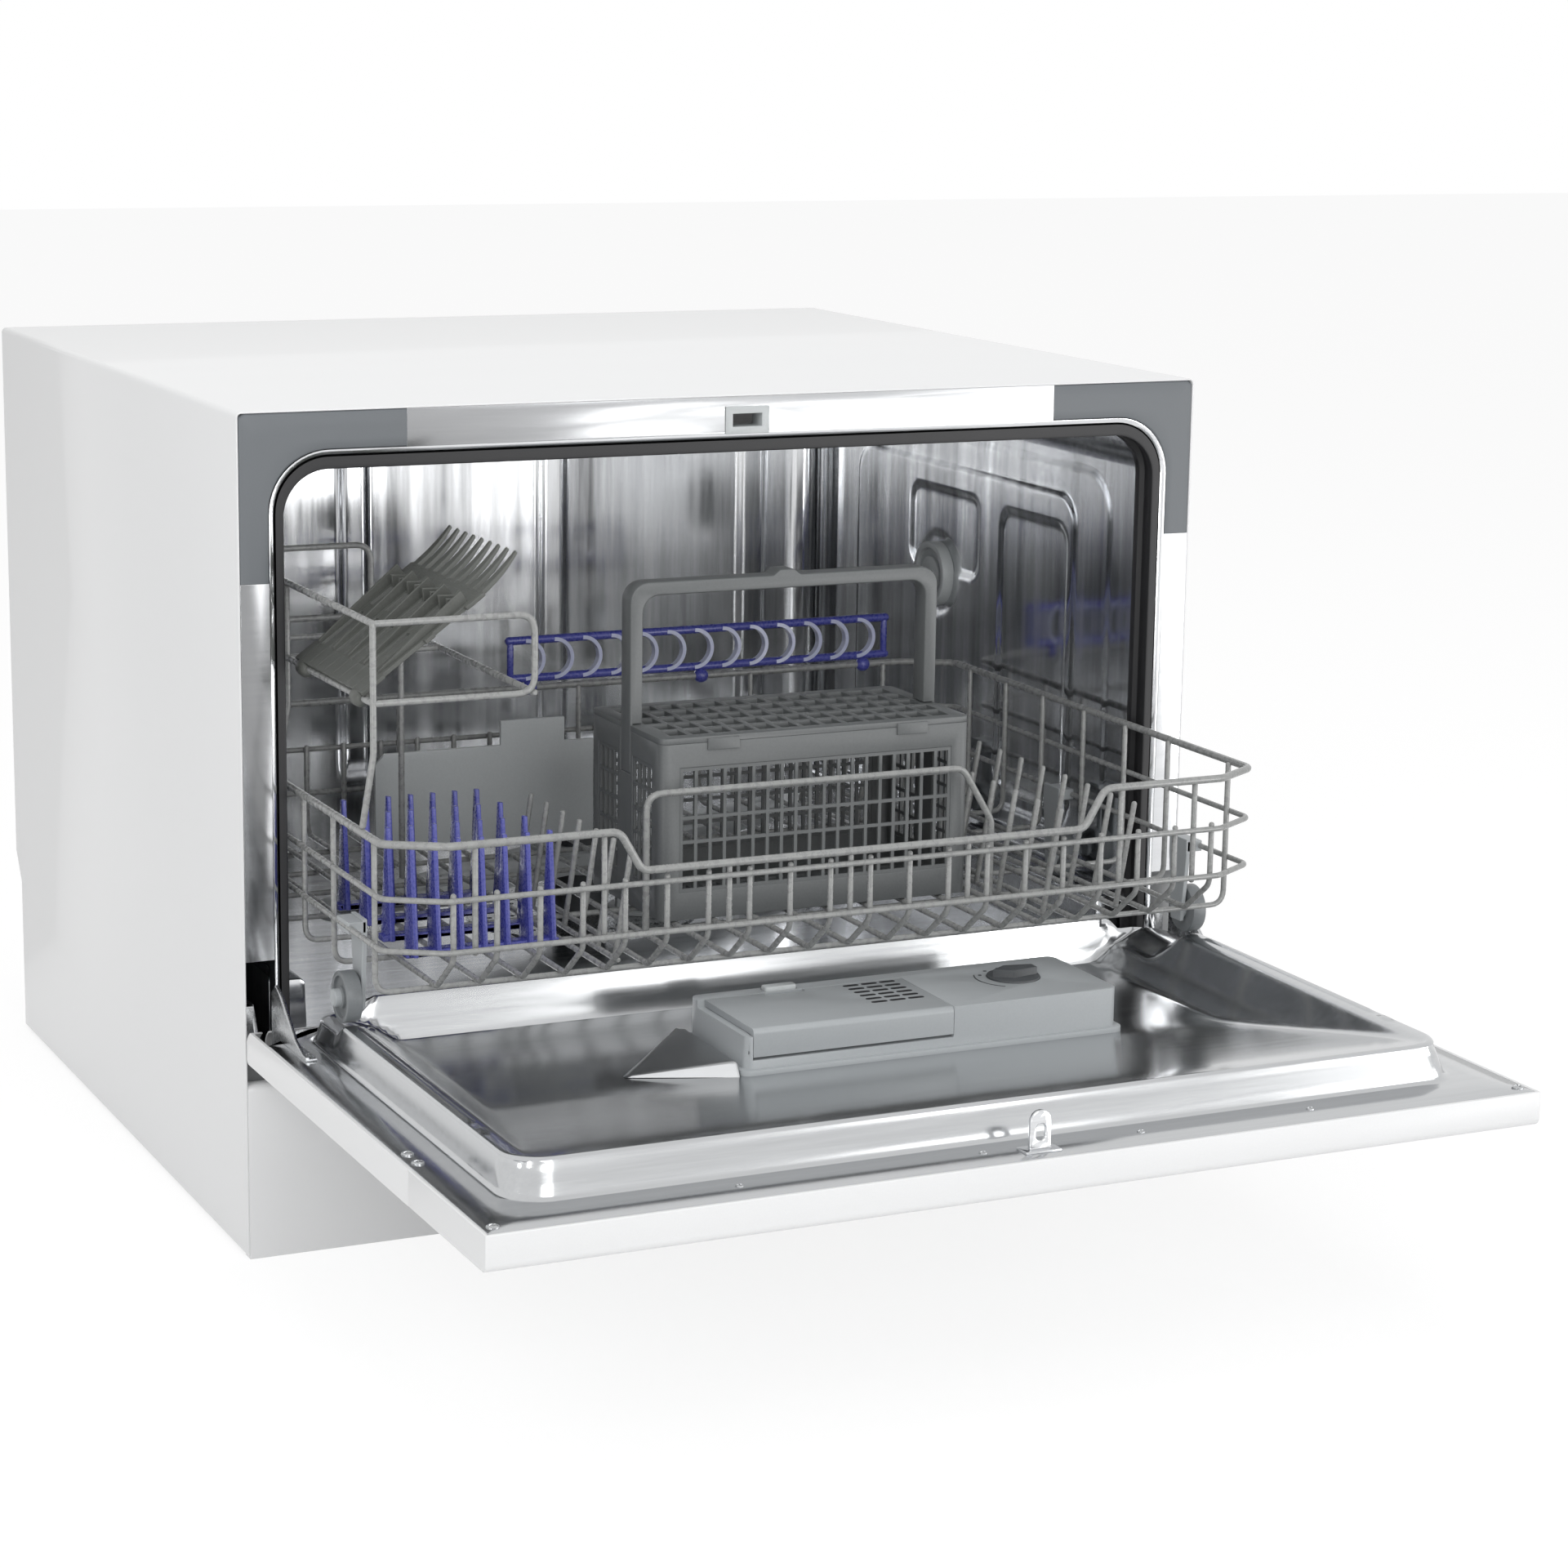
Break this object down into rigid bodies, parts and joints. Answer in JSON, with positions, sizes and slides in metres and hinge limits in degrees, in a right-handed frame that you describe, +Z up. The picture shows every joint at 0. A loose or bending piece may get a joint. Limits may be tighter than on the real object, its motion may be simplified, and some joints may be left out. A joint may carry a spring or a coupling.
{
  "type": "countertop dishwasher",
  "caption": "Compact countertop dishwasher with its door folded down and the wire rack, cutlery basket and cup shelf drawn forward.",
  "frame": {"origin": "middle of the front edge of the footprint, on the counter", "axes": "+X to the viewer's right, +Y from the front to the rear, +Z up"},
  "size_m": [0.55, 0.8274, 0.438],
  "materials": {
    "painted_white": "gloss",
    "white_plastic": "gloss",
    "stainless": "satin",
    "grey_metal": "satin",
    "dark_plastic": "satin",
    "grey_plastic": "satin",
    "coated_wire": "satin",
    "blue_plastic": "satin",
    "black_rubber": "matte",
    "foot_rubber": "matte",
    "black_glass": "gloss"
  },
  "bodies": {
    "cabinet": {"cabinet_wrap": "painted_white", "rear_panel": "painted_white", "base_tray": "dark_plastic", "plinth": "painted_white", "feet": "foot_rubber", "tub_roof": "stainless", "tub_side_left": "stainless", "tub_side_right": "stainless", "tub_rear": "stainless", "tub_floor": "stainless", "frame_corner_left": "dark_plastic", "frame_corner_right": "dark_plastic", "frame_top_strip": "stainless", "frame_columns": "stainless", "gasket": "black_rubber", "latch_strike": "grey_metal", "vent_cap": "grey_plastic", "filter_plate": "stainless", "sump_pump": "dark_plastic", "water_ports": "grey_plastic", "hinge_bracket_left": "stainless", "hinge_bracket_right": "stainless"},
    "door": {"door_panel": "painted_white", "control_fascia": "white_plastic", "door_liner": "stainless", "display_window": "black_glass", "latch_hook": "stainless", "hinge_arm_left": "stainless", "hinge_arm_right": "stainless", "dispenser_body": "grey_plastic"},
    "rack": {"rack_floor": "coated_wire", "rack_left": "coated_wire", "rack_right": "coated_wire", "rack_front": "coated_wire", "rack_rear": "coated_wire", "plate_tines": "coated_wire", "blue_tines": "blue_plastic", "rack_baffle": "grey_plastic", "cup_shelf_frame": "coated_wire"},
    "basket": {"basket_body": "grey_plastic", "basket_lattice": "grey_plastic", "basket_grid": "grey_plastic", "basket_handle": "grey_plastic"},
    "spray_arm_body": {"spray_arm": "grey_plastic"},
    "filter_cup_body": {"filter_cup": "grey_plastic"},
    "detergent_lid_body": {"detergent_lid": "grey_plastic"},
    "lid_release_body": {"lid_release": "grey_plastic"},
    "rinse_cap_body": {"rinse_cap": "dark_plastic"},
    "power_button_body": {"power_button": "grey_plastic"},
    "program_button_body": {"program_button": "grey_plastic"},
    "delay_button_body": {"delay_button": "grey_plastic"},
    "start_button_body": {"start_button": "grey_plastic"},
    "comb_tray_body": {"comb_tray": "grey_plastic"},
    "glass_holder_body": {"glass_holder": "blue_plastic"},
    "wheel_left_front_body": {"wheel_left_front": "grey_plastic"},
    "wheel_left_mid_body": {"wheel_left_mid": "grey_plastic"},
    "wheel_left_rear_body": {"wheel_left_rear": "grey_plastic"},
    "wheel_right_front_body": {"wheel_right_front": "grey_plastic"},
    "wheel_right_mid_body": {"wheel_right_mid": "grey_plastic"},
    "wheel_right_rear_body": {"wheel_right_rear": "grey_plastic"}
  },
  "joints": [
    {"name": "door_hinge", "type": "hinge", "parent": "cabinet", "child": "door", "pos_m": [0, -0.0164, 0.11], "axis": [-1, 0, 0], "range_deg": [0, 90]},
    {"name": "rack_slide", "type": "slide", "parent": "cabinet", "child": "rack", "axis": [0, 1, 0], "range_m": [0, 0.198]},
    {"name": "basket_lift", "type": "slide", "parent": "rack", "child": "basket", "axis": [0, 0, -1], "range_m": [-0.06, 0]},
    {"name": "comb_tray_fold", "type": "hinge", "parent": "rack", "child": "comb_tray_body", "pos_m": [-0.2375, 0, 0.3065], "axis": [0, 1, 0], "range_deg": [-24, 34]},
    {"name": "glass_holder_fold", "type": "hinge", "parent": "rack", "child": "glass_holder_body", "pos_m": [0, 0.23, 0.2435], "axis": [-1, 0, 0], "range_deg": [-60, 0]},
    {"name": "detergent_lid_hinge", "type": "hinge", "parent": "door", "child": "detergent_lid_body", "pos_m": [0, -0.1538, 0.1294], "axis": [-1, 0, 0], "range_deg": [-20, 0]},
    {"name": "lid_release_press", "type": "slide", "parent": "door", "child": "lid_release_body", "axis": [0, 0, -1], "range_m": [0, 0.0025], "stiffness_N_per_m": 200},
    {"name": "rinse_cap_turn", "type": "hinge", "parent": "door", "child": "rinse_cap_body", "pos_m": [0.106, -0.116, 0.135], "axis": [0, 0, 1], "range_deg": [0, 90]},
    {"name": "power_press", "type": "slide", "parent": "door", "child": "power_button_body", "axis": [0, 0, 1], "range_m": [0, 0.0015], "stiffness_N_per_m": 300},
    {"name": "program_press", "type": "slide", "parent": "door", "child": "program_button_body", "axis": [0, 0, 1], "range_m": [0, 0.0015], "stiffness_N_per_m": 300},
    {"name": "delay_press", "type": "slide", "parent": "door", "child": "delay_button_body", "axis": [0, 0, 1], "range_m": [0, 0.0015], "stiffness_N_per_m": 300},
    {"name": "start_press", "type": "slide", "parent": "door", "child": "start_button_body", "axis": [0, 0, 1], "range_m": [0, 0.0015], "stiffness_N_per_m": 300},
    {"name": "spray_arm_spin", "type": "hinge", "parent": "cabinet", "child": "spray_arm_body", "pos_m": [0, 0.225, 0.1425], "axis": [0, 0, 1], "continuous": true},
    {"name": "filter_cup_turn", "type": "hinge", "parent": "cabinet", "child": "filter_cup_body", "pos_m": [0.036, 0.213, 0.108], "axis": [0, 0, 1], "range_deg": [0, 90]},
    {"name": "wheel_left_front_spin", "type": "hinge", "parent": "rack", "child": "wheel_left_front_body", "pos_m": [-0.2425, -0.066, 0.1543], "axis": [1, 0, 0], "continuous": true},
    {"name": "wheel_left_mid_spin", "type": "hinge", "parent": "rack", "child": "wheel_left_mid_body", "pos_m": [-0.2425, 0.075, 0.1543], "axis": [1, 0, 0], "continuous": true},
    {"name": "wheel_left_rear_spin", "type": "hinge", "parent": "rack", "child": "wheel_left_rear_body", "pos_m": [-0.2425, 0.213, 0.1543], "axis": [1, 0, 0], "continuous": true},
    {"name": "wheel_right_front_spin", "type": "hinge", "parent": "rack", "child": "wheel_right_front_body", "pos_m": [0.2425, -0.066, 0.1543], "axis": [1, 0, 0], "continuous": true},
    {"name": "wheel_right_mid_spin", "type": "hinge", "parent": "rack", "child": "wheel_right_mid_body", "pos_m": [0.2425, 0.075, 0.1543], "axis": [1, 0, 0], "continuous": true},
    {"name": "wheel_right_rear_spin", "type": "hinge", "parent": "rack", "child": "wheel_right_rear_body", "pos_m": [0.2425, 0.213, 0.1543], "axis": [1, 0, 0], "continuous": true}
  ],
  "couplings": [
    {"joint": "rack_slide", "follows": "door_hinge", "m_per_rad": 0.12605}
  ]
}
